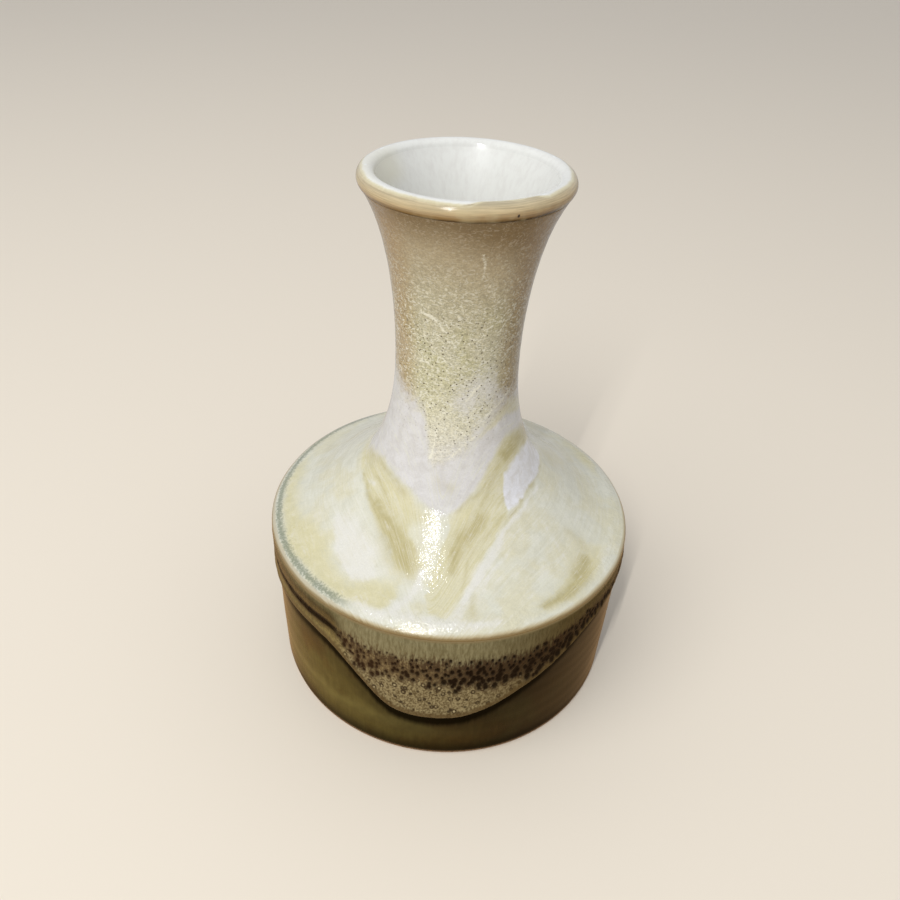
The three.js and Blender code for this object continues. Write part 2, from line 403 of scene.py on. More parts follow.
class Shader:
    """A small writer of node trees: each method adds a node and returns its output socket."""

    def __init__(self, name):
        self.material = bpy.data.materials.new(name)
        self.material.use_nodes = True
        self.tree = self.material.node_tree
        self.tree.nodes.clear()

    def add(self, kind, output, inputs, **settings):
        """Adds a node, sets or links its inputs by name or number and returns one of its outputs."""
        node = self.tree.nodes.new(kind)
        for key, value in settings.items():
            setattr(node, key, value)
        for key, value in inputs.items():
            if isinstance(value, bpy.types.NodeSocket):
                self.tree.links.new(value, node.inputs[key])
            else:
                node.inputs[key].default_value = value
        return node.outputs[output]

    def math(self, operation, *values):
        return self.add("ShaderNodeMath", 0, dict(enumerate(values)), operation=operation)

    def plus(self, a, b):
        return self.math("ADD", a, b)

    def minus(self, a, b):
        return self.math("SUBTRACT", a, b)

    def times(self, a, b):
        return self.math("MULTIPLY", a, b)

    def most(self, a, b):
        return self.math("MAXIMUM", a, b)

    def scaled(self, value, gain, offset):
        return self.math("MULTIPLY_ADD", value, gain, offset)

    def swayed(self, value, noise, amount):
        """A value moved up and down by a noise."""
        return self.scaled(self.minus(noise, 0.5), amount, value)

    def __getitem__(self, name):
        """A value that the mesh holds at each of its points."""
        return self.add("ShaderNodeAttribute", "Fac", {}, attribute_name=name)

    def position(self, squash=1.0, across=1.0):
        """The place on the object in millimetres. Noise read there is drawn out upwards where
        squash is under 1 and flattened where it is over 1."""
        stretch = [across / MM, across / MM, squash / MM]
        coordinates = self.add("ShaderNodeTexCoord", "Object", {})
        return self.add("ShaderNodeVectorMath", 0, {0: coordinates, 1: stretch}, operation="MULTIPLY")

    def vector(self, *values):
        return self.add("ShaderNodeCombineXYZ", 0, dict(enumerate(values)))

    def noise(self, vector, size, detail=2.0, roughness=0.5, distortion=0.0):
        """Noise from 0 to 1 with features of a given size in the vector's units."""
        return self.add("ShaderNodeTexNoise", "Fac", {
            "Vector": vector, "Scale": 1 / size, "Detail": detail,
            "Roughness": roughness, "Distortion": distortion})

    def spots(self, vector, size, randomness=1.0):
        """Distance to the nearest of scattered points, in units of their spacing."""
        return self.add("ShaderNodeTexVoronoi", "Distance", {
            "Vector": vector, "Scale": 1 / size, "Randomness": randomness})

    def step(self, value, low, high):
        """0 below low and 1 above high, smooth between. Falls instead if low is above high."""
        start, end = (1.0, 0.0) if low > high else (0.0, 1.0)
        return self.add("ShaderNodeMapRange", "Result", {
            "Value": value, "From Min": min(low, high), "From Max": max(low, high),
            "To Min": start, "To Max": end}, interpolation_type="SMOOTHSTEP")

    def band(self, value, low, high, soft):
        """1 between low and high, with soft sides."""
        rise, fall = self.step(value, low - soft, low + soft), self.step(value, high + soft, high - soft)
        return self.times(rise, fall)

    def ramp(self, value, stops):
        """Colours along a value: stops are (value, colour), from the lowest to the highest."""
        low, high = stops[0][0], stops[-1][0]
        spread = self.math("DIVIDE", self.minus(value, low), high - low)
        colours = self.add("ShaderNodeValToRGB", "Color", {"Fac": spread})
        marks = colours.node.color_ramp.elements
        while len(marks) < len(stops):
            marks.new(0.5)
        for mark, (place, colour) in zip(marks, stops):
            mark.position = (place - low) / (high - low)
            mark.color = linear(*colour)
        return colours

    def mix(self, share, a, b):
        """Colour a where share is 0 and colour b where it is 1."""
        a, b = (linear(*colour) if isinstance(colour, tuple) else colour for colour in (a, b))
        return self.add("ShaderNodeMix", "Result", {"Factor": share, "A": a, "B": b}, data_type="RGBA")

    def lay(self, below, above, share, most=1.0):
        """One colour over another, covering it by a share of the most that it ever does."""
        return self.mix(share if most == 1.0 else self.times(share, most), below, above)

    def tint(self, colour, value, low, high):
        """Darkens and lightens a colour: times low where value is 0 and times high where 1."""
        factor = self.scaled(value, high - low, low)
        return self.add("ShaderNodeVectorMath", 0, {0: colour, "Scale": factor}, operation="SCALE")

    def bump(self, height, distance, normal=None):
        """Raises a surface by up to a distance in millimetres, on top of an earlier bump."""
        inputs = {"Distance": distance * MM, "Height": height}
        if normal is not None:
            inputs["Normal"] = normal
        return self.add("ShaderNodeBump", "Normal", inputs)

    def surface(self, colour, roughness, normal=None, specular=0.5):
        inputs = {"Base Color": colour, "Roughness": roughness, "Specular IOR Level": specular}
        if normal is not None:
            inputs["Normal"] = normal
        shader = self.add("ShaderNodeBsdfPrincipled", 0, inputs)
        output = self.tree.nodes.new("ShaderNodeOutputMaterial")
        self.tree.links.new(shader, output.inputs["Surface"])
        return self.material


# ---- the glaze's flow

FLOW_MIDDLE = -5
FLOW_DROP = 45
FLOW_WIDTH = 18
REAR_MIDDLE = 158
REAR_NARROWING = 0.8


def flow_place(azimuth, along):
    """Which stream of running glaze a point is in. The streams come down the neck, swing round
    towards the front and the rear, and fall over the shoulder's edge there."""
    front = np.exp(-np.hypot(wrapped(azimuth - FLOW_MIDDLE), 2) / FLOW_WIDTH)
    rear = np.exp(-np.hypot(wrapped(azimuth - REAR_MIDDLE), 2) / FLOW_WIDTH)
    return along + FLOW_DROP * (front + REAR_NARROWING * rear)


def place_attributes(azimuth, along):
    """What every glaze shader needs to know: how far along its outline and to the right a point is."""
    return {"along": along, "side": np.sin(azimuth * DEG)}


# ---- neck and shoulder glaze

# Strokes are (line, widths, strength) and bands are (azimuth, lowest, highest). Their places
# are azimuths and distances up from the edge.
LEFT_ARM = [
    (-112, 47, 44), (-98, 44, 46.5), (-88, 43.5, 49.5), (-60, 41, 54.5), (-29, 31, 49.5), (-20, 22.5, 46.5),
    (-16, 20, 45.5), (-12, 21, 44.8), (-9, 25, 44), (-6, 40, 38)]
RIGHT_ARM = [
    (-7, 14, 11), (-4, 9, 30), (0, 8, 43.5), (5, 12, 46), (9, 19, 48), (15, 27, 52), (35, 42.5, 63.5),
    (38, 46, 65), (41, 52, 66.5), (44, 55, 67.5), (50, 56.8, 68.5), (65, 58.5, 67.5), (82, 57.5, 63.5),
    (100, 54.5, 58), (110, 55, 52)]
KHAKI_ARC = [(20, 71, 68), (25, 71, 73), (31, 74, 77.5), (52, 77, 83), (66, 75, 82), (85, 71, 78),
             (100, 72, 70)]
LILAC_PATCH = [
    (34, 43.5, 41), (36, 42.4, 44), (41, 43.4, 53), (44, 43.8, 55.2), (50, 44.8, 57), (66, 46.2, 58.6),
    (86, 45.4, 57), (100, 44, 54.5), (112, 48, 46)]
LEFT_PATCH = [(-64, 27, 24), (-58, 25, 29), (-52, 21.5, 31), (-46, 18, 31), (-33, 13.2, 27), (-28, 14.5, 24),
              (-22, 20, 18)]
TRIANGLE = [(-22, 39, 37), (-19, 35, 39), (-11, 26.5, 41.5), (-8, 26, 41), (-6, 34, 32)]
RING_RIGHT = [(18, 6, 4), (28, 4.6, 7), (46, 5, 12), (56, 5.5, 11.5), (62, 7, 11), (70, 10, 8)]
RING_LEFT = [(-118, 8, 6), (-100, 5, 10.5), (-80, 5, 13), (-57, 5.5, 20), (-42, 5, 14.5), (-33, 5, 12.5),
             (-25, 6, 17), (-19, 7, 18), (-15, 12, 9)]
OLIVE = [
    ([(-48, 40), (-36, 37), (-29, 34), (-21, 29), (-14, 24)], [2.6, 3.8, 6.2, 7.0, 3.6], 0.95),
    ([(-72, 43), (-60, 42), (-48, 39.5), (-38, 36)], [0.8, 1.2, 1.6, 1.6], 0.8),
    ([(-66, 47), (-54, 46.5), (-42, 43.5), (-32, 40)], [0.7, 0.9, 1.1, 0.9], 0.6),
    ([(-88, 47), (-72, 50.5), (-58, 52), (-44, 51), (-30, 48)], [1.4, 2.0, 2.4, 2.4, 2.0], 0.6),
    ([(1, 24), (4, 31), (9, 36), (14, 40), (20, 44)], [1.8, 3.4, 4.4, 4.2, 2.6], 0.95),
    ([(5, 17), (8, 25), (14, 32), (24, 38), (32, 42)], [0.8, 1.0, 1.2, 1.0], 0.55),
    ([(3, 44.5), (12, 48), (20, 52), (30, 57)], [0.8, 1.0, 1.0, 1.0], 0.6),
    ([(18, 46), (27, 52), (36, 59), (48, 64)], [1.2, 1.4, 2.2, 3.0], 0.6),
    ([(44, 62), (60, 64.5), (78, 63), (96, 59)], [4, 5, 4.6, 3], 1.0),
    ([(28, 37), (42, 42.6), (57, 45), (74, 45.7), (88, 44.5)], [0.8, 1.0, 1.2, 1.0, 0.8], 0.8),
    ([(30, 6), (42, 7.6), (51, 9.4), (58, 12)], [2.0, 3.2, 4.0, 3.0], 1.0),
    ([(60, 14), (62, 19), (61, 24)], [4.2, 3.8, 2.6], 0.5),
    ([(98, 37), (105, 38)], 4.5, 0.35),
    ([(9, 9), (10, 16)], 2.2, 0.5),
    ([(-7, 55), (-1, 54)], 3.2, 0.5),
]
HAZE = [
    ([(6, 84), (12, 88), (20, 91), (30, 89), (44, 84)], [4, 6, 7, 6, 4], 1.0),
    ([(14, 77), (30, 80), (46, 84)], [3, 4, 3], 0.8),
    ([(-12, 68), (-4, 68), (4, 70)], 4, 0.5),
]
SWOOP = ([(4, 8), (7, 15), (11, 21), (18, 28), (27, 34), (40, 39.5), (55, 42.6), (70, 44)],
         [2.4, 2.2, 2.4, 2.2, 1.6, 1.2, 1.0, 0.7], 1.0)
WHITE_RUNS_AND_HIGHLIGHT = [
    SWOOP,
    ([(-10, 24), (-11, 19), (-14, 13), (-16, 6)], [1.6, 2.0, 2.4, 3.0], 1.0),
    ([(12, 12), (15, 20), (22, 26.5), (32, 32), (42, 36)], [1.6, 1.2, 1.0, 0.8, 0.6], 0.7),
    ([(56, 35), (52, 27), (50, 16), (50, 8)], [0.8, 1.2, 0.8], 0.5),
    # Painted highlight: a white band round the front just inside the edge, where the light glints on the
    # glaze's roll.
    ([(-30, 5), (-14, 6), (4, 6), (19, 5)], [2.0, 3.0, 3.0, 2.0], 0.9),
    ([(-65, 43), (-61, 43.6), (-56, 44.5)], 0.9, 0.8),
    ([(-24, 12.5), (-17, 11)], 0.6, 0.8),
    ([(-79, 57), (-67, 59.5), (-55, 61)], 1.2, 0.4),
    ([(6, 49), (14, 51), (24, 53), (32, 55)], [0.7, 0.6], 0.5),
    ([(22, 66), (33, 72), (50, 76.5), (70, 75)], [0.7, 0.9, 1.0], 0.5),
]
SCRATCHES = [
    ([(-35, 118), (-27, 117), (-18, 115), (-12, 112), (-9, 111)], [0.35, 0.7, 0.55, 0.35], 0.9),
    ([(-23, 110.5), (-16, 109)], 0.5, 0.7),
    ([(-38, 98.5), (-28, 99), (-15, 97)], 0.5, 0.7),
    ([(-10, 98), (-3, 97), (7, 98.5)], 0.5, 0.7),
    ([(8, 110.5), (16, 109.5), (28, 110), (36, 112), (45, 117)], [0.5, 0.45, 0.4, 0.45], 0.7),
    ([(12, 141), (14, 137), (14, 131)], 0.55, 0.5),
    ([(-18, 63), (-16, 70), (-15, 75)], [0.6, 0.45], 0.8),
    ([(0, 75), (12, 74), (25, 79), (42, 83), (60, 86)], [0.4, 0.5, 0.6, 0.6], 0.7),
    ([(9, 86), (16, 90), (23, 92)], 0.6, 0.7),
    ([(-9, 62.5), (0, 66), (12, 70), (20, 73)], [0.4, 0.5], 0.7),
    ([(26, 122), (31, 122.5)], 0.6, 0.6),
    ([(-55, 126), (-49, 126)], 0.5, 0.5),
]
IVORY, IVORY_DULL, IVORY_WARM = (210, 208, 192), (202, 199, 180), (204, 197, 165)
YELLOW_GREEN, KHAKI_CREAM = (196, 187, 140), (206, 198, 160)
LILAC_PALE, LILAC_DULL, PATCH_LILAC = (209, 206, 204), (199, 195, 191), (220, 219, 222)
OLIVE_FLOW, OLIVE_DARK, WHITE_FLOW = (179, 168, 120), (160, 148, 98), (215, 212, 204)
NECK_STOPS = [
    (60, (206, 200, 183)), (80, (206, 200, 175)), (102, (192, 186, 159)), (122, (178, 169, 141)),
    (138, (172, 157, 128)), (150, (130, 110, 80)), (165, (98, 76, 44))]
NECK_GREEN, NECK_OCHRE = (172, 166, 110), (158, 124, 72)
PALE_FLECK, TAN_FLECK, PALE_DROP = (228, 224, 205), (168, 150, 118), (220, 213, 188)
# The third colour on the next line is a painted reflection on the rim's left side.
EDGE_TEAL, EDGE_TAN, EDGE_RIM_REFLECTION = (106, 114, 92), (178, 163, 128), (182, 173, 150)
EDGE_BROWN, EDGE_BROWN_LEFT = (132, 111, 72), (138, 120, 84)
# The crease colour on the next line is painted shade, for the shadow in the crease under the lip.
SCRATCH_CREAM, PINHOLE_BROWN, CREASE_SHADE = (228, 223, 204), (84, 68, 42), (62, 44, 22)
# The lower border of the lilac glaze round the neck's root, and of the neck's mottled khaki.
VEIL_LOW = [(-112, 48), (-90, 46.5), (-60, 54.5), (-30, 51), (-5, 43), (6, 46.5), (40, 66), (50, 69),
            (65, 68), (112, 58)]
NECK_LINE = [(-112, 92), (-85, 90), (-35, 82), (-27, 79), (-23, 73), (-19, 65), (-12, 62), (6, 67), (27, 76),
             (40, 80), (52, 82), (70, 82), (90, 84), (112, 90)]


def shoulder_relief(azimuth, along):
    """The glaze's own thickness, in millimetres: a soft roll gathers just inside the edge."""
    front = np.exp(-(wrapped(azimuth - FLOW_MIDDLE) / 32) ** 2)
    roll = smoothstep(along, 2.6, 6.2) * smoothstep(along, 17, 7)
    thin = smoothstep(along, 4.4, 2.4) * smoothstep(along, 0.4, 1.4)
    return (0.28 + 0.55 * front) * roll - 0.14 * thin


def neck_and_shoulder():
    """The cream coat, from the shoulder's edge up to the crease under the lip."""
    outline = even(neck_and_shoulder_outline(), ROW_STEP)
    inner = (outline - COAT * normals(outline))[::INNER_STEP][::-1]
    outline_along = path_length(outline)
    azimuth = even_columns(COLUMNS)
    along = np.broadcast_to(outline_along[:, None], (len(outline), len(azimuth)))
    around = np.broadcast_to(azimuth, along.shape)
    stream = flow_place(around, along)
    streaks = lattice_noise(stream * 3.6, around / 20, 140, 3.0, 11)
    swell = lattice_noise(around, along, 14, 22, 12)
    lumps = lattice_noise(around, along, 60, 3.2, 13)
    skin = Skin(outline, outline_along)
    layers = {
        "white": strokes(skin, azimuth, along, WHITE_RUNS_AND_HIGHLIGHT + echoed([SWOOP])),
        "patch": bands([LEFT_PATCH], around, along, (2.2, 6.5)),
        "triangle": bands([TRIANGLE], around, along, (2.0, 2.5)),
        "scratch": strokes(skin, azimuth, along, SCRATCHES, sway=0.5),
        "core": strokes(skin, azimuth, along, OLIVE + echoed(OLIVE[:2])),
        "arms": bands([LEFT_ARM, RIGHT_ARM, KHAKI_ARC], around, along, (1.8, 4.0)),
        "ring": bands([RING_RIGHT, RING_LEFT], around, along, (2.5, 6.0)),
        "lilac": bands([LILAC_PATCH], around, along, (0.9, 2.4)),
        "veil": np.clip((along - both_sides(VEIL_LOW, around)) / 4 + 0.5, 0, 1),
        "haze": strokes(skin, azimuth, along, HAZE, sway=2.0),
        "mottle": (along - both_sides(NECK_LINE, around)) / 6,
    }
    fade = smoothstep(along, 0, 3) * smoothstep(along, along.max(), along.max() - 2)
    relief = 0.03 * streaks + 0.12 * swell + 0.035 * lumps
    relief = relief + 0.07 * layers["scratch"] + 0.06 * layers["white"] - 0.05 * layers["arms"]
    relief = fade * (relief + shoulder_relief(around, along))
    front = turned(push(outline, normals(outline), relief), azimuth)
    pad = lambda values: np.vstack([values, values[::INNER_STEP][::-1]])
    attributes = place_attributes(azimuth, pad(along))
    attributes["stream"] = flow_place(azimuth, pad(along))
    attributes["turn"] = np.abs(wrapped(azimuth))
    for key, values in layers.items():
        attributes[key] = pad(values)
    return build("NeckShoulderGlaze", np.vstack([front, turned(inner, azimuth)]), attributes)


def flow_threads(s):
    """Fine threads drawn out along the streams of running glaze, from 0 to 1."""
    drawn = s.vector(s["stream"], s.times(s["turn"], 0.06), s.times(s["side"], 4.0))
    return s.noise(drawn, 1.5, 5, 0.62, 1.3)


def frayed(s, name, threads, patchy, low=0.0, high=1.0):
    """A layer's cover with its borders broken up by threads and patches."""
    return s.step(s.swayed(s.swayed(s[name], threads, 0.9), patchy, 0.9), low, high)


def vein(s, value, level, width):
    """Thin lines where a noise passes a level."""
    return s.step(s.math("ABSOLUTE", s.minus(value, level)), width, width * 0.3)


def shoulder_colour(s, threads):
    """Ivory, with olive, lilac and white glaze run over it in bands and strokes, and a painted highlight
    along the front just inside the edge.
    """
    patchy = s.noise(s.position(), 4.5, 4, 0.6, 0.6)
    wide = s.noise(s.position(), 13, 3, 0.5, 0.4)
    pale_vein = s.times(vein(s, threads, 0.56, 0.022), s.step(wide, 0.42, 0.55))
    dark_vein = s.times(vein(s, threads, 0.43, 0.022), s.step(wide, 0.6, 0.45))
    ivory = s.mix(s.step(threads, 0.25, 0.7), IVORY_DULL, IVORY)
    ivory = s.lay(ivory, IVORY_WARM, s.step(wide, 0.42, 0.62), 0.6)
    ivory = s.tint(ivory, s.step(patchy, 0.3, 0.7), 0.95, 1.04)
    ring = s.mix(s.step(patchy, 0.3, 0.7), YELLOW_GREEN, KHAKI_CREAM)
    colour = s.lay(ivory, ring, frayed(s, "ring", threads, patchy, 0.1, 1.2), 0.9)
    veil = s.mix(s.step(patchy, 0.35, 0.65), LILAC_DULL, LILAC_PALE)
    veil = s.lay(veil, IVORY, s.step(threads, 0.5, 0.68), 0.6)
    colour = s.lay(colour, veil, frayed(s, "veil", threads, patchy, 0.1, 0.9))
    arm = s.mix(s.step(threads, 0.36, 0.6), YELLOW_GREEN, IVORY_WARM)
    arm = s.lay(arm, KHAKI_CREAM, s.step(patchy, 0.45, 0.7))
    arm = s.lay(arm, OLIVE_FLOW, dark_vein, 0.5)
    colour = s.lay(colour, arm, frayed(s, "arms", threads, patchy, 0.1, 1.1), 0.8)
    core = s.mix(s.step(threads, 0.38, 0.6), OLIVE_DARK, OLIVE_FLOW)
    colour = s.lay(colour, core, frayed(s, "core", threads, patchy, 0.05, 1.15), 0.9)
    lilac = s.mix(s.step(patchy, 0.35, 0.65), LILAC_PALE, PATCH_LILAC)
    colour = s.lay(colour, lilac, frayed(s, "lilac", threads, patchy))
    colour = s.lay(colour, IVORY, s["triangle"], 0.6)
    colour = s.lay(colour, WHITE_FLOW, frayed(s, "patch", threads, patchy, 0.0, 1.2), 0.85)
    colour = s.lay(colour, WHITE_FLOW, pale_vein, 0.3)
    # The white strokes hold the white glaze runs and the painted highlight inside the front of the edge.
    return s.lay(colour, WHITE_FLOW, frayed(s, "white", threads, patchy, 0.15, 1.1), 0.85)


def neck_colour(s, flecks, worms, cloud):
    """Khaki broken into small pale flecks, browner towards the lip and to the right."""
    lean = s.times(s.most(s["side"], -0.2), 10.0)
    base = s.ramp(s.plus(s["along"], lean), NECK_STOPS)
    green = s.times(s.band(s["along"], 80, 116, 12), s.step(cloud, 0.42, 0.6))
    base = s.lay(base, NECK_GREEN, green, 0.35)
    base = s.lay(base, NECK_OCHRE, s.step(s.math("ABSOLUTE", s["side"]), 0.5, 0.85), 0.6)
    high = s.step(s["along"], 112, 156)
    fleck = s.minus(s.step(flecks, 0.36, 0.64), 0.5)
    base = s.tint(base, s.scaled(fleck, s.scaled(high, -0.75, 1.1), 0.5), 0.76, 1.14)
    pale = s.mix(high, PALE_FLECK, TAN_FLECK)
    base = s.lay(base, pale, s.step(worms, 0.53, 0.6), s.scaled(high, -0.4, 0.66))
    drops = s.scaled(flecks, 0.16, s.spots(s.position(0.8), 3.4))
    drops = s.times(s.step(drops, 0.27, 0.16), s.band(s["along"], 84, 134, 12))
    return s.lay(base, PALE_DROP, drops, 0.62)


def edge_colours(s, colour, threads):
    """Where the glaze has drawn thin over the edge the brown clay shows, and on the left a
    blue-green line lies inside a pale rim, which is a painted reflection of the light on the left."""
    along = s["along"]
    worn = s.plus(along, s.scaled(threads, 1.4, -0.7))
    left = s.step(s["side"], -0.42, -0.6)
    feather = s.noise(s.position(0.4), 0.9, 4, 0.7)
    reach = s.scaled(feather, 6.0, s.minus(along, 3.0))
    colour = s.lay(colour, EDGE_TEAL, s.times(s.band(reach, 3.2, 5.4, 1.3), left), 0.8)
    colour = s.lay(colour, EDGE_TAN, s.step(worn, 3.0, 1.4))
    # Painted reflection: a pale band on the left rim stands for the light on the left glinting there.
    colour = s.lay(colour, EDGE_RIM_REFLECTION, s.times(s.band(worn, 1.3, 2.6, 0.5), left), 0.85)
    return s.mix(s.step(worn, 1.8, 0.8), colour, s.mix(left, EDGE_BROWN, EDGE_BROWN_LEFT))


def pinholes(s, place):
    """Burst bubbles: small dark dots, close together low on the neck."""
    dots = s.step(s.spots(place, 1.5, 0.9), 0.2, 0.12)
    where = s.band(s["along"], 67, 118, 8)
    patchy = s.step(s.noise(place, 8, 2), 0.3, 0.46)
    return s.times(dots, s.times(where, patchy))


def neck_and_shoulder_material():
    s = Shader("cream_flow_glaze")
    place = s.position()
    threads = flow_threads(s)
    flecks = s.noise(s.position(1.5), 0.9, 3, 0.65, 0.8)
    worms = s.noise(s.position(1.7), 2.3, 4, 0.62, 2.2)
    ragged = s.scaled(s.noise(place, 2.6, 4, 0.7), 3.0, -1.5)
    mottle = s.step(s.plus(s["mottle"], ragged), -0.9, 1.1)
    colour = s.mix(mottle, shoulder_colour(s, threads), neck_colour(s, flecks, worms, s.noise(place, 14, 3)))
    haze = s.times(s.step(s.swayed(s["haze"], worms, 1.8), 0.0, 1.2), mottle)
    colour = s.lay(colour, LILAC_PALE, haze, 0.65)
    colour = s.lay(colour, SCRATCH_CREAM, s.step(s.swayed(s["scratch"], flecks, 1.0), 0.15, 0.7), 0.85)
    colour = edge_colours(s, colour, threads)
    fine = s.noise(place, 0.5, 3, 0.7)
    colour = s.tint(colour, s.step(fine, 0.3, 0.7), 0.95, 1.04)
    # Painted shade: the right side of the neck and upper shoulder, away from the light, is darkened.
    shaded = s.times(s.step(s["side"], 0.35, 0.95), s.step(s["along"], 60, 90))
    colour = s.tint(colour, shaded, 1.0, 0.68)
    holes = s.times(pinholes(s, place), s.scaled(mottle, 0.75, 0.25))
    colour = s.lay(colour, PINHOLE_BROWN, holes, 0.8)
    # Painted shade: the neck's top turns dark brown for the shadow in the crease under the lip.
    colour = s.lay(colour, CREASE_SHADE, s.step(s["along"], 152.8, 154.4), 0.85)
    rippled = s.scaled(s.band(s["along"], 3.5, 8.5, 1.5), 2.0, 1.0)
    normal = s.bump(s.noise(place, 3.2, 2), 0.07)
    normal = s.bump(s.times(s.noise(place, 1.4, 2, 0.6), rippled), 0.115, normal)
    normal = s.bump(fine, 0.02, normal)
    normal = s.bump(s.times(flecks, mottle), 0.12, normal)
    normal = s.bump(s.minus(1.0, holes), 0.2, normal)
    roughness = s.scaled(s.noise(place, 5, 2), 0.1, 0.04)
    return s.surface(colour, roughness, normal, specular=s.scaled(mottle, -0.28, 0.5))


# ---- overflow glaze on the wall

SHELF_HEIGHT = 53.5
SHELF_TILT = 4.5
FRONT_TONGUE = {"azimuth": -3, "tip": 23.3, "left": (24.5, 3), "right": (39, 2.1)}
REAR_TONGUE = {"azimuth": 158, "tip": 38, "left": (30, 2), "right": (30, 2)}
OVERFLOW_THICKNESS = 0.75
WALL_DEPTH = 0.5
CRATER_LOWEST = 30
CRATER_ROWS = 18
CRATER_ROW_GAP = 2.15
CRATER_COLUMNS = 200
CRATER_WIDTH = 0.95
CRATER_HEIGHT = 1.55
CRATER_DEPTH = 0.32
# How likely a crater is at a place in its band: 0 is the band's middle and 1 its upper border.
CRATER_CHANCE = [(-1.5, 0), (-1.0, 0.25), (-0.7, 0.95), (0.4, 0.9), (0.9, 0.6), (1.3, 0)]
CRATER_CLEARANCE = 2.5


def tongue_hang(tongue, azimuth):
    """How far down a tongue hangs, from 1 in its middle to 0 well beside it."""
    angle = wrapped(azimuth - tongue["azimuth"])
    left, right = tongue["left"], tongue["right"]
    fall_left = np.exp(-(np.abs(angle) / left[0]) ** left[1])
    fall_right = np.exp(-(np.abs(angle) / right[0]) ** right[1])
    return np.where(angle < 0, fall_left, fall_right)


def overflow_edge(azimuth):
    """The height of the overflow's lower edge."""
    shelf = SHELF_HEIGHT + SHELF_TILT * np.sin(azimuth * DEG)
    front = (shelf - FRONT_TONGUE["tip"]) * tongue_hang(FRONT_TONGUE, azimuth)
    rear = (shelf - REAR_TONGUE["tip"]) * tongue_hang(REAR_TONGUE, azimuth)
    waver = 0.5 * lattice_noise(azimuth, azimuth * 0, 46, 5, 21)
    return shelf - front - rear + waver


def rear_share(azimuth):
    """Climbs to 1 at the back, where the left side's glaze turns into the right side's."""
    return smoothstep(wrapped(azimuth), -140, -172)


def crater_line(azimuth):
    """The middle height of the burst craters, which run as a thin line on the left."""
    azimuth = wrapped(azimuth)
    back = rear_share(azimuth)
    left = smoothstep(azimuth, -22, -36) * (1 - back)
    right = np.maximum(smoothstep(azimuth, 24, 58), back)
    waver = 0.8 * lattice_noise(np.asarray(azimuth, float), np.zeros(np.shape(azimuth)), 50, 5, 25)
    return 50.0 + waver * (1 - left) + 8.7 * left + 7.6 * right


def crater_reach(azimuth):
    """Half the height of the craters' band."""
    azimuth = wrapped(azimuth)
    back = rear_share(azimuth)
    left = smoothstep(azimuth, -24, -34) * (1 - back)
    return 6.8 - 5.8 * left - 2.6 * np.maximum(smoothstep(azimuth, 26, 60), back)


def crater_centres():
    """(azimuth, height, size) of craters on a jittered grid, kept where their band is."""
    rng = np.random.default_rng(5)
    places = []
    for row in range(CRATER_ROWS):
        for column in range(CRATER_COLUMNS):
            azimuth = -180 + (column + 0.5 * (row % 2)) * 360 / CRATER_COLUMNS + rng.uniform(-0.8, 0.8)
            height = CRATER_LOWEST + row * CRATER_ROW_GAP + rng.uniform(-1.0, 1.0)
            size, luck = rng.uniform(0.6, 1.25), rng.uniform()
            gap = float((height - crater_line(azimuth)) / crater_reach(azimuth))
            chance = np.interp(gap, *zip(*CRATER_CHANCE))
            chance = chance * (1 - 0.2 * smoothstep(azimuth, 6, -6))
            clear = height - overflow_edge(np.array([azimuth]))[0]
            if luck < chance and clear > CRATER_CLEARANCE:
                low = np.clip(0.6 - gap, 0, 1)
                narrow = smoothstep(np.float64(crater_reach(azimuth)), 1.2, 4.2)
                merged = 0.3 * smoothstep(azimuth, -4, 12)
                places.append((azimuth, height, size * (0.5 + 0.55 * low + merged) * (0.5 + 0.5 * narrow)))
    return places


def crater_relief(azimuth, height):
    """Depth, floor mask and rim mask of the craters, each from 0 to 1, on a grid."""
    depth, floor, rim = np.zeros_like(height), np.zeros_like(height), np.zeros_like(height)
    for turn, level, size in crater_centres():
        near = np.abs(wrapped(azimuth[0] - turn)) < 3
        across = wrapped(azimuth[:, near] - turn) * DEG * SHOULDER_RADIUS / (CRATER_WIDTH * size)
        tall = (height[:, near] - level) / (CRATER_HEIGHT * size)
        reach = np.hypot(across, tall)
        depth[:, near] = np.maximum(depth[:, near], np.clip(1 - reach ** 2, 0, 1))
        floor[:, near] = np.maximum(floor[:, near], smoothstep(reach, 1.15, 0.55))
        rim[:, near] = np.maximum(rim[:, near], np.exp(-((reach - 1.15) / 0.35) ** 2))
    return depth, floor, rim


def coat_on_wall(name, azimuth, height, radius, layers, undercut=0.0):
    """A coat from rows of heights and radii, closed by a plain inner face on the clay. The lower
    end of that face can be higher than the outer one's, by an undercut."""
    front = turned(np.stack([radius, height], -1), azimuth)
    top, bottom = height[-1], height[0]
    inner = np.stack([
        np.stack([wall_radius(top, COAT), top], -1),
        np.stack([wall_radius(bottom, COAT), bottom + undercut], -1),
    ])
    pad = lambda values: np.vstack([values, values[-1:], values[:1]])
    attributes = place_attributes(azimuth, pad(height))
    for key, values in layers.items():
        attributes[key] = pad(np.broadcast_to(values, height.shape))
    return build(name, np.vstack([front, turned(inner, azimuth)]), attributes)


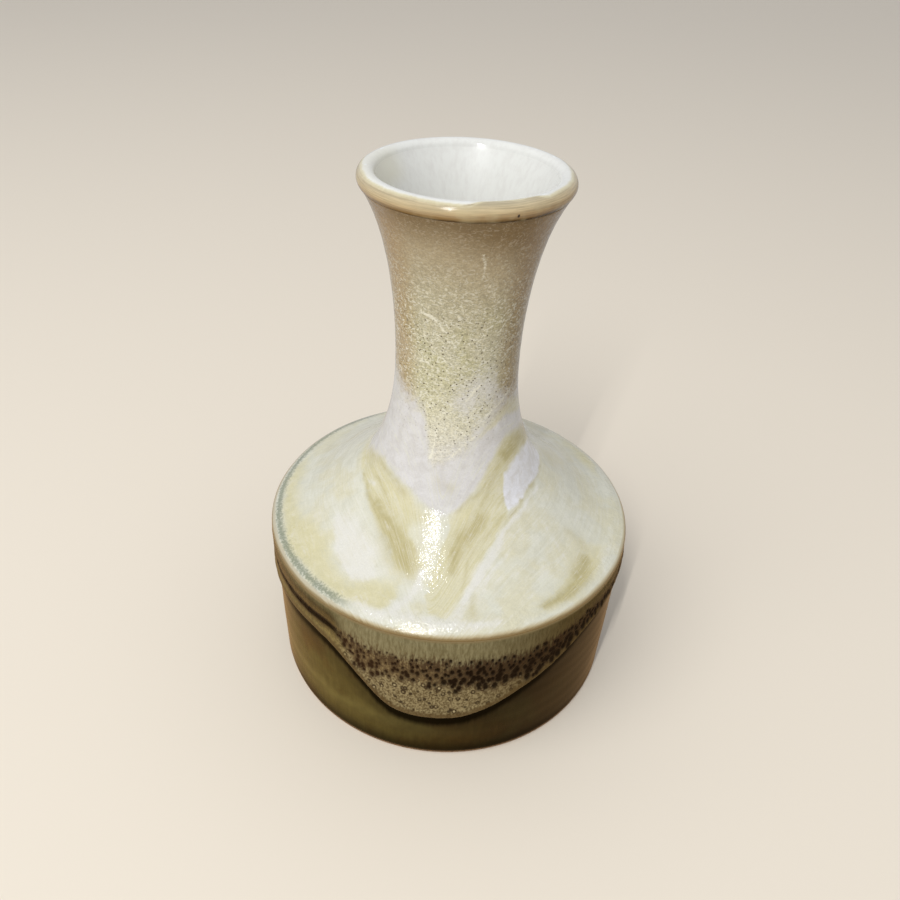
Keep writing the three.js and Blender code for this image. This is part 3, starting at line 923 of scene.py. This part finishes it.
def overflow():
    """The coat that ran over the edge, with a rolled lower border and burst craters."""
    azimuth = dense_columns(front_half=66, front_step=0.27, rest_step=0.62)
    edge = overflow_edge(azimuth)
    share = np.linspace(0, 1, 112)[:, None]
    height = edge + (EDGE_HEIGHT - edge) * share
    around = np.broadcast_to(azimuth, height.shape)
    depth, floor, rim = crater_relief(around, height)
    above = height - edge
    thick = OVERFLOW_THICKNESS * (0.3 + 0.7 * smoothstep(above, 0, 1.1))
    thick = thick + 0.4 * smoothstep(above, 0, 1.4) * smoothstep(above, 5.5, 1.8)
    thick = WALL_DEPTH + (thick - WALL_DEPTH) * smoothstep(EDGE_HEIGHT - height, 0, 4)
    uneven = noises(around, height, (0.06, 150, 3, 23), (0.05, 420, 1.0, 24))
    fade = smoothstep(EDGE_HEIGHT - height, 0, 2)
    radius = wall_radius(height, WALL_DEPTH) + thick + fade * (uneven + 0.06 * rim - CRATER_DEPTH * depth)
    over = height - crater_line(azimuth)
    layers = {
        "above": above,
        "crater": floor,
        "rim": rim,
        "over": over,
        "band": over / crater_reach(azimuth),
        "shelf": smoothstep(wrapped(azimuth), -27, -34) * (1 - rear_share(azimuth)),
    }
    return coat_on_wall("OverflowGlaze", azimuth, height, radius, layers, undercut=0.4)


CURTAIN_DULL, CURTAIN_PALE = (103, 94, 63), (132, 123, 90)
# The two colours on the next line are painted shade: the curtain as it is darkened on the right side.
CURTAIN_SHADED_DARK, CURTAIN_SHADED_LIGHT = (46, 34, 14), (98, 82, 46)
SHELF_STOPS = [
    (-14, (104, 88, 50)), (-8.2, (126, 108, 64)), (-5.2, (120, 104, 60)), (-2.8, (84, 70, 36)),
    (-1.6, (22, 14, 4)), (0.8, (20, 12, 4)), (2.0, (88, 70, 34)), (4.8, (60, 50, 22)), (7.8, (98, 90, 58))]
# The last colour on the next line is painted shade: the khaki as it is darkened on the right side.
KHAKI_DARK, KHAKI_LIGHT, KHAKI_SHADED = (84, 70, 42), (146, 131, 94), (78, 60, 32)
RING_DARK, RING_PALE = (38, 27, 12), (176, 161, 124)
MESH_DARK, MESH_LIGHT, MESH_RIGHT = (72, 54, 32), (128, 109, 72), (34, 22, 9)
# The last colour on the next line is painted shade for the underside of the overflow's rolled edge.
FRINGE_BROWN, CRATER_RIM, LOBE_ROLL, LOBE_UNDERSIDE_SHADE = (52, 35, 19), (58, 40, 21), (84, 66, 36), (32, 21, 8)
PIT, PIT_LEFT, WALL_TOP = (22, 12, 5), (44, 27, 14), (126, 110, 76)


def curtain_colour(s, runs):
    """Grey-green glaze that hangs from the edge in fine vertical threads, with a darker copy laid over the
    right side as painted shade.
    """
    curtain = s.mix(s.step(runs, 0.3, 0.7), CURTAIN_DULL, CURTAIN_PALE)
    return s.lay(curtain, s.mix(runs, CURTAIN_SHADED_DARK, CURTAIN_SHADED_LIGHT), s.step(s["side"], 0.05, 0.7))


def shelf_colour(s, grain):
    """Level bands of brown, olive and speckled khaki on the left, above and below a dark line."""
    wavy = s.scaled(s.noise(s.position(1.0, 0.6), 5, 2), 1.6, s.minus(s["over"], 0.8))
    return s.tint(s.ramp(wavy, SHELF_STOPS), s.step(grain, 0.3, 0.7), 0.7, 1.16)


def lobe_colour(s, grain):
    """Khaki below the craters, full of tiny rings, darkened on the right side as painted shade."""
    khaki = s.mix(s.step(grain, 0.35, 0.65), KHAKI_DARK, KHAKI_LIGHT)
    reach, luck = s.spots(s.position(0.75), 2.6), s.noise(s.position(), 3.5, 2)
    khaki = s.lay(khaki, RING_DARK, s.times(s.band(reach, 0.2, 0.37, 0.06), s.step(luck, 0.36, 0.5)), 0.9)
    khaki = s.lay(khaki, RING_PALE, s.times(s.step(reach, 0.17, 0.08), s.step(luck, 0.42, 0.52)), 0.8)
    return s.lay(khaki, KHAKI_SHADED, s.step(s["side"], 0.1, 0.5), 0.6)


def crater_mesh_colour(s, runs, grain):
    """The brown glaze between the craters, with a darker fringe hanging at its top."""
    tone = s.mix(s.step(grain, 0.3, 0.7), MESH_DARK, MESH_LIGHT)
    tone = s.lay(tone, MESH_RIGHT, s.step(s["side"], -0.1, 0.18), 0.85)
    fringe = s.times(s.band(s["band"], 0.1, 1.25, 0.3), s.step(runs, 0.56, 0.46))
    return s.lay(tone, FRINGE_BROWN, fringe, 0.8)


def overflow_material():
    s = Shader("cratered_overflow_glaze")
    runs = s.noise(s.position(0.2), 0.8, 4, 0.65)
    grain = s.noise(s.position(0.7), 0.75, 3, 0.6)
    frayed_band = s.swayed(s["band"], runs, 2.4)
    mesh = crater_mesh_colour(s, runs, grain)
    colour = s.mix(s.step(frayed_band, 1.5, 0.5), curtain_colour(s, runs), mesh)
    colour = s.lay(colour, lobe_colour(s, grain), s.step(frayed_band, -0.4, -1.1))
    colour = s.lay(colour, CRATER_RIM, s["rim"], 0.55)
    colour = s.lay(colour, shelf_colour(s, grain), s["shelf"])
    colour = s.lay(colour, LOBE_ROLL, s.band(s.swayed(s["above"], grain, 1.2), 0.7, 3.6, 1.0), 0.8)
    colour = s.lay(colour, s.mix(s.step(s["side"], 0.05, -0.4), PIT, PIT_LEFT), s["crater"], 0.95)
    # Painted shade on the underside of the overflow's rolled edge.
    colour = s.lay(colour, LOBE_UNDERSIDE_SHADE, s.step(s["above"], 1.4, 0.3))
    colour = s.lay(colour, WALL_TOP, s.step(s["along"], 65.6, 66.8))
    dark_line = s.times(s.band(s["over"], -2.2, 1.0, 0.8), s["shelf"])
    dull = s.most(s.most(s["crater"], dark_line), s.step(s["side"], 0.0, 0.6))
    roughness = s.scaled(s.step(s["band"], 0.5, 1.5), -0.08, 0.3)
    return s.surface(colour, roughness, s.bump(grain, 0.2), specular=s.scaled(dull, -0.21, 0.24))


# ---- wall glaze

def wall():
    """The wall's coat, with faint throwing rings and a beaded lower border."""
    azimuth = even_columns(COLUMNS)
    height = np.linspace(GLAZE_LINE, EDGE_HEIGHT, 90)[:, None] * np.ones(len(azimuth))
    around = np.broadcast_to(azimuth, height.shape)
    rings = 0.02 * np.sin(height * 0.9 + 2.5 * lattice_noise(around, height, 6, 20, 31))
    swell = 0.10 * lattice_noise(around, height, 22, 12, 32)
    bead = 0.3 * smoothstep(height, GLAZE_LINE - 0.1, GLAZE_LINE + 1.2) - 0.3
    fade = smoothstep(EDGE_HEIGHT - height, 0, 4)
    radius = wall_radius(height, WALL_DEPTH) + fade * (rings + swell) + bead
    return coat_on_wall("WallGlaze", azimuth, height, radius, {"below": overflow_edge(around) - height})


GREEN_DARK, GREEN_LIGHT, GREEN_BAND = (74, 63, 27), (84, 72, 34), (106, 94, 50)
BROWN_DARK, BROWN_LIGHT, SHADOW = (68, 50, 17), (80, 60, 24), (10, 6, 1)


def wall_material():
    s = Shader("olive_wall_glaze")
    height, below, side = s["along"], s["below"], s["side"]
    runs = s.noise(s.position(0.14), 1.4, 4, 0.6)
    clouds = s.noise(s.position(0.8), 20, 3, 0.55, 0.5)
    run = s.step(runs, 0.2, 0.8)
    browning = s.scaled(s.step(height, 22, 40), 0.2, s.scaled(side, 0.16, clouds))
    colour = s.mix(s.step(browning, 0.42, 0.68), s.mix(run, GREEN_DARK, GREEN_LIGHT),
                   s.mix(run, BROWN_DARK, BROWN_LIGHT))
    light_band = s.band(s.scaled(clouds, 12.0, s.minus(height, 6.0)), 14, 20, 4)
    colour = s.lay(colour, GREEN_BAND, s.times(light_band, s.step(side, 0.4, -0.2)), 0.6)
    # Painted light: the left side is lightened as painted reflection, and from the middle to the right the
    # colour darkens to under a third as painted shade.
    colour = s.tint(colour, s.step(side, -0.35, -0.75), 1.0, 1.22)
    colour = s.tint(colour, s.step(side, 0.5, -0.3), 0.28, 1.0)
    colour = s.tint(colour, s.step(height, 2, 12), 0.2, 1.0)
    # Painted shade: the wall darkens softly over 20 mm below the overflow's edge.
    colour = s.tint(colour, s.step(below, 20, 4), 1.0, 0.58)
    colour = s.tint(colour, s.step(s.noise(s.position(), 4.5, 4, 0.6), 0.3, 0.7), 0.9, 1.1)
    shaded = s.step(s.swayed(below, runs, 1.8), 7.2, 3.2)
    colour = s.lay(colour, SHADOW, shaded, 0.95)
    dull = s.most(shaded, s.times(s.step(height, 14, 3), 0.7))
    return s.surface(colour, 0.1, s.bump(runs, 0.03), specular=s.scaled(dull, -0.1, 0.12))


# ---- lip glaze and liner

CREAM_LAP, WHITE_LAP = (202, 192, 160), (222, 222, 217)
# Tan round the bead by angle, turning to painted shade on its underside towards the crease.
TAN_AND_SHADE_STOPS = [(-50, (40, 26, 10)), (-38, (90, 66, 34)), (-24, (138, 110, 70)), (-4, (166, 140, 100)),
             (18, (188, 168, 130)), (60, (182, 168, 138))]
PALE_TAN, LIP_LINE_BROWN, LIP_HOLE_BROWN = (186, 172, 134), (120, 92, 56), (44, 26, 12)
LINER_DULL, LINER_WHITE, LINER_TINT = (212, 210, 204), (218, 217, 211), (212, 207, 184)
# Strokes on the bead, whose second value is an angle round it, in degrees above level.
LIP_LINES = [
    ([(-2, 52), (3, 70), (7, 96), (9, 116)], 0.35, 0.9),
    ([(7, 97), (16, 99), (26, 96), (36, 94), (42, 80)], 0.35, 0.5),
]
LIP_HOLE = [([(26, -14), (26, -4)], 0.32, 1.0)]
LIP_TOP_ANGLE = 118
# The angle at which the liner starts, and the one above which the lap line moves that start up.
LAP_SEAM = 64
LAP_SEAM_MOVES = 78


def lap_line(azimuth):
    """The bead angle where the white glaze, lapping out over the lip, gives way to tan."""
    azimuth = wrapped(azimuth)
    bare = np.exp(-np.abs((azimuth - 24) / 19) ** 6)
    waver = noises(azimuth, azimuth * 0, (5, 24, 5, 51), (2.5, 80, 5, 52))
    right = 10 * smoothstep(azimuth, 35, 60) * smoothstep(azimuth, 110, 80)
    return 55 + right + 42 * bare + waver


def lip():
    """The tan coat round the outside of the bead."""
    rows = 42
    around = even_columns(COLUMNS)
    angle = np.linspace(CREASE_ANGLE, LIP_TOP_ANGLE, rows)[:, None] * np.ones(len(around))
    section = arc(LIP_CENTRE, LIP_BEAD, CREASE_ANGLE, LIP_TOP_ANGLE, rows)
    azimuth = np.broadcast_to(around, angle.shape)
    skin = Skin(section, angle[:, 0])
    marks = strokes(skin, azimuth, angle, LIP_LINES, sway=0.3)
    hole = strokes(skin, azimuth, angle, LIP_HOLE, sway=0)
    swell = noises(azimuth, angle, (0.05, 40, 30, 41), (0.02, 150, 12, 42))
    sink = 0.3 * smoothstep(angle, LIP_TOP_ANGLE - 20, LIP_TOP_ANGLE)
    front = turned(push(section, normals(section), swell - sink - 0.3 * hole), around)
    spread = np.linspace(LIP_TOP_ANGLE, CREASE_ANGLE, 8)[:, None] * np.ones(len(around))
    back = turned(arc(LIP_CENTRE, LIP_BEAD - COAT, LIP_TOP_ANGLE, CREASE_ANGLE, 8), around)
    pad = lambda values: np.vstack([values, np.zeros_like(spread)])
    attributes = place_attributes(around, np.vstack([angle, spread]))
    attributes["front"] = np.cos(around * DEG)
    attributes["lap"] = attributes["along"] - lap_line(around)
    attributes["line"] = pad(marks)
    attributes["hole"] = pad(hole)
    return build("LipGlaze", np.vstack([front, back]), attributes)


def lap_colour(s, tan, lap):
    """From tan through cream to white, as the white glaze thickens inwards over the lip."""
    reach = s.swayed(lap, s.noise(s.position(0.4), 1.0, 3, 0.6), 16.0)
    colour = s.mix(s.step(reach, -16, 6), tan, CREAM_LAP)
    return s.mix(s.step(reach, 2, 24), colour, WHITE_LAP)


def lip_material():
    s = Shader("tan_lip_glaze")
    angle, side = s["along"], s["side"]
    ringwise = s.vector(s.times(angle, 0.14), s.times(side, 2.4), s.times(s["front"], 2.4))
    streak = s.noise(ringwise, 1.0, 5, 0.7)
    # Painted shade: the tan darkens towards the bead's underside and the crease, and more so on the right
    # side.
    tan = s.ramp(s.scaled(side, -12.0, angle), TAN_AND_SHADE_STOPS)
    tan = s.tint(tan, s.step(streak, 0.36, 0.64), 0.76, 1.12)
    tan = s.lay(tan, PALE_TAN, s.step(s.noise(s.position(), 7, 3), 0.45, 0.7), 0.4)
    colour = lap_colour(s, tan, s["lap"])
    colour = s.lay(colour, LIP_LINE_BROWN, s["line"], 0.8)
    colour = s.lay(colour, LIP_HOLE_BROWN, s.step(s["hole"], 0.2, 0.6))
    shine = s.scaled(s.step(angle, -38, -8), 0.42, 0.08)
    return s.surface(colour, 0.14, s.bump(streak, 0.035), specular=shine)


def liner_section(azimuth):
    """Rows of (radius, height) from the lap over the lip, down the bore and in to the floor's
    middle, how far inwards of its lap line each is, in degrees round the bead, and the line of
    the bore and floor alone."""
    start = LAP_SEAM + np.maximum(0, lap_line(azimuth) - LAP_SEAM_MOVES)
    angle = start + (LINER_END_ANGLE - start) * np.linspace(0, 1, 26)[:, None]
    rise = 0.09 * smoothstep(angle - start, 0, 14) - 0.05
    reach = LIP_BEAD + rise * smoothstep(angle, LINER_END_ANGLE, LINER_END_ANGLE - 20)
    over_lip = LIP_CENTRE + reach[..., None] * np.stack([np.cos(angle * DEG), np.sin(angle * DEG)], -1)
    inside = even(cavity_outline()[CAVITY_LIP_POINTS:-1], 1.6)
    rows = np.vstack([over_lip, np.repeat(inside[:, None, :], len(azimuth), 1)])
    lap = np.vstack([angle, np.full((len(inside), len(azimuth)), 180.0)]) - lap_line(azimuth)
    return rows, lap, inside


def liner():
    """The white coat over the lip's inner half, the bore and the floor."""
    azimuth = even_columns(COLUMNS)
    rows, lap, inside = liner_section(azimuth)
    under_inside = (inside - COAT * normals(inside))[::4]
    under_lip = arc(LIP_CENTRE, LIP_BEAD - COAT, LINER_END_ANGLE, LAP_SEAM, 6)
    under = np.vstack([under_lip[::-1], under_inside])[::-1]
    grid = turned(np.vstack([np.repeat(under[:, None, :], len(azimuth), 1), rows]), azimuth)
    attributes = place_attributes(azimuth, TOP_HEIGHT - grid[..., 2])
    attributes["lap"] = np.vstack([np.full((len(under), len(azimuth)), 90.0), lap])
    return build("LinerGlaze", grid, attributes, closed=False)


def liner_material():
    s = Shader("white_liner_glaze")
    depth = s["along"]
    runs = s.noise(s.position(0.1), 1.6, 4, 0.65)
    colour = s.mix(s.step(runs, 0.3, 0.62), LINER_DULL, LINER_WHITE)
    tinted = s.times(s.step(s["side"], -0.72, -0.95), s.band(depth, 0, 9, 3))
    colour = s.lay(colour, LINER_TINT, tinted, 0.6)
    # Painted shade: the colour darkens from 12 mm down to 60 mm deep inside the cavity.
    colour = s.tint(colour, s.step(depth, 60, 12), 0.85, 1.0)
    colour = s.lay(colour, CREAM_LAP, s.step(s["lap"], 24, 2))
    roughness = s.scaled(s.step(depth, 0.5, 3.5), 0.34, 0.08)
    return s.surface(colour, roughness, s.bump(runs, 0.025))


# ---- clay

def clay_outline():
    """The clay's section from the middle of the base, up the outside and down inside."""
    radius = wall_radius(0, COAT)
    corner = arc(np.array([radius - FOOT_ROUND, FOOT_ROUND]), FOOT_ROUND, -90, 0, 8)
    groove = bezier([np.array(point) for point in FOOT_GROOVE], 8)
    base = even(np.vstack([[[2.0, FOOT_RECESS]], groove, corner[:1]]), 1.5)
    outside = neck_and_shoulder_outline()
    outside = (outside - COAT * normals(outside))[::6]
    lip_clay = arc(LIP_CENTRE, LIP_BEAD - COAT, CREASE_ANGLE + 10, LINER_END_ANGLE, 14)
    inside = cavity_outline()[CAVITY_LIP_POINTS:]
    inside = (inside - COAT * normals(inside))[:-1:5]
    inside = inside[inside[:, 0] > 1]
    glaze_line = [[wall_radius(GLAZE_LINE, COAT), GLAZE_LINE]]
    return np.vstack([base, corner[1:], glaze_line, outside, lip_clay, inside])


def clay():
    return build("ClayBody", turned(clay_outline(), even_columns(CLAY_COLUMNS)), {}, closed=False)


CLAY_DARK, CLAY_LIGHT, IRON_SPECK = (112, 84, 56), (146, 114, 80), (52, 36, 24)


def clay_material():
    s = Shader("stoneware_clay")
    speck = s.noise(s.position(), 0.9, 4, 0.7)
    iron = s.spots(s.position(), 1.8)
    colour = s.mix(s.step(speck, 0.35, 0.65), CLAY_DARK, CLAY_LIGHT)
    colour = s.mix(s.step(iron, 0.16, 0.1), colour, IRON_SPECK)
    return s.surface(colour, 0.85, s.bump(speck, 0.15))


# ---- stage

FLOOR_CREAM, FLOOR_NEAR_REFLECTION, FLOOR_FAR_REFLECTION = (228, 217, 200), (192, 152, 104), (205, 200, 192)
SKY, SKY_STRENGTH = (0.94, 0.96, 1.0, 1.0), 0.62
LIGHT_TINT = (0.975, 0.99, 1.0)
FLOOR_SIZE = 6
# Distances from the vase's axis, in millimetres, over which the near reflection gives way.
REFLECTION_FADE = (130, 220)
# The key light is narrow and upright and makes the streak on the shoulder. The window light is
# wide and leaves no reflection.
KEY = {"azimuth": -19, "elevation": 48, "distance": 1.6, "size": (0.014, 0.85), "power": 10.5}
WINDOW = {"azimuth": -52, "elevation": 56, "distance": 1.8, "size": (1.2, 1.2), "power": 11.2}


def soft_light(name, azimuth, elevation, distance, size, power, in_reflections=True):
    """An oval light that faces the vase."""
    light = bpy.data.lights.new(name, "AREA")
    light.shape = "ELLIPSE"
    light.size, light.size_y = size
    light.energy = power
    light.color = LIGHT_TINT
    lamp = bpy.data.objects.new(name, light)
    target = Vector((0, 0, TOP_HEIGHT * MM / 2))
    turn, lift = azimuth * DEG, elevation * DEG
    away = Vector((math.cos(lift) * math.sin(turn), -math.cos(lift) * math.cos(turn), math.sin(lift)))
    lamp.location = target + distance * away
    lamp.rotation_euler = (-away).to_track_quat("-Z", "Y").to_euler()
    lamp.visible_glossy = in_reflections
    bpy.context.scene.collection.objects.link(lamp)


def floor_material():
    """A cream floor that looks darker where the vase reflects it, most of all close to the vase."""
    s = Shader("pale_floor")
    reach = s.add("ShaderNodeVectorMath", "Value", {0: s.position()}, operation="LENGTH")
    reflected = s.mix(s.step(reach, *REFLECTION_FADE), FLOOR_NEAR_REFLECTION, FLOOR_FAR_REFLECTION)
    glossy_ray = s.add("ShaderNodeLightPath", "Is Glossy Ray", {})
    return s.surface(s.mix(glossy_ray, FLOOR_CREAM, reflected), 0.6)


def studio():
    bpy.ops.mesh.primitive_plane_add(size=FLOOR_SIZE)
    floor = bpy.context.object
    floor.name = "Floor"
    floor.data.materials.append(floor_material())
    world = bpy.data.worlds.new("studio")
    world.use_nodes = True
    background = world.node_tree.nodes["Background"]
    background.inputs["Color"].default_value = SKY
    background.inputs["Strength"].default_value = SKY_STRENGTH
    bpy.context.scene.world = world
    soft_light("Key", **KEY)
    soft_light("Window", **WINDOW, in_reflections=False)


CAMERA_PLACE = (0.0, -0.24475, 0.27626)
CAMERA_DOWN = 36.65
CAMERA_YAW = -0.23
CAMERA_ROLL = 2.91
FOCAL_LENGTH = 32
SENSOR_WIDTH = 36
NEAREST_SEEN = 0.01


def camera():
    lens = bpy.data.cameras.new("Camera")
    lens.lens = FOCAL_LENGTH
    lens.sensor_width = SENSOR_WIDTH
    lens.clip_start = NEAREST_SEEN
    eye = bpy.data.objects.new("Camera", lens)
    tilt = Matrix.Rotation((90 - CAMERA_DOWN) * DEG, 4, "X")
    yaw = Matrix.Rotation(-CAMERA_YAW * DEG, 4, "Z")
    roll = Matrix.Rotation(CAMERA_ROLL * DEG, 4, "Z")
    eye.matrix_world = Matrix.Translation(CAMERA_PLACE) @ yaw @ tilt @ roll
    bpy.context.scene.collection.objects.link(eye)
    bpy.context.scene.camera = eye


PIECES = [
    (clay, clay_material, "clay_body", "stoneware_clay"),
    (liner, liner_material, "liner_glaze", "white_liner_glaze"),
    (lip, lip_material, "lip_glaze", "tan_lip_glaze"),
    (neck_and_shoulder, neck_and_shoulder_material, "neck_and_shoulder_glaze", "cream_flow_glaze"),
    (wall, wall_material, "wall_glaze", "olive_wall_glaze"),
    (overflow, overflow_material, "overflow_glaze", "cratered_overflow_glaze"),
]

for make_shape, make_material, node, slot in PIECES:
    finish_piece(make_shape(), make_material(), node)
studio()
camera()
bpy.context.scene.view_settings.view_transform = "Standard"
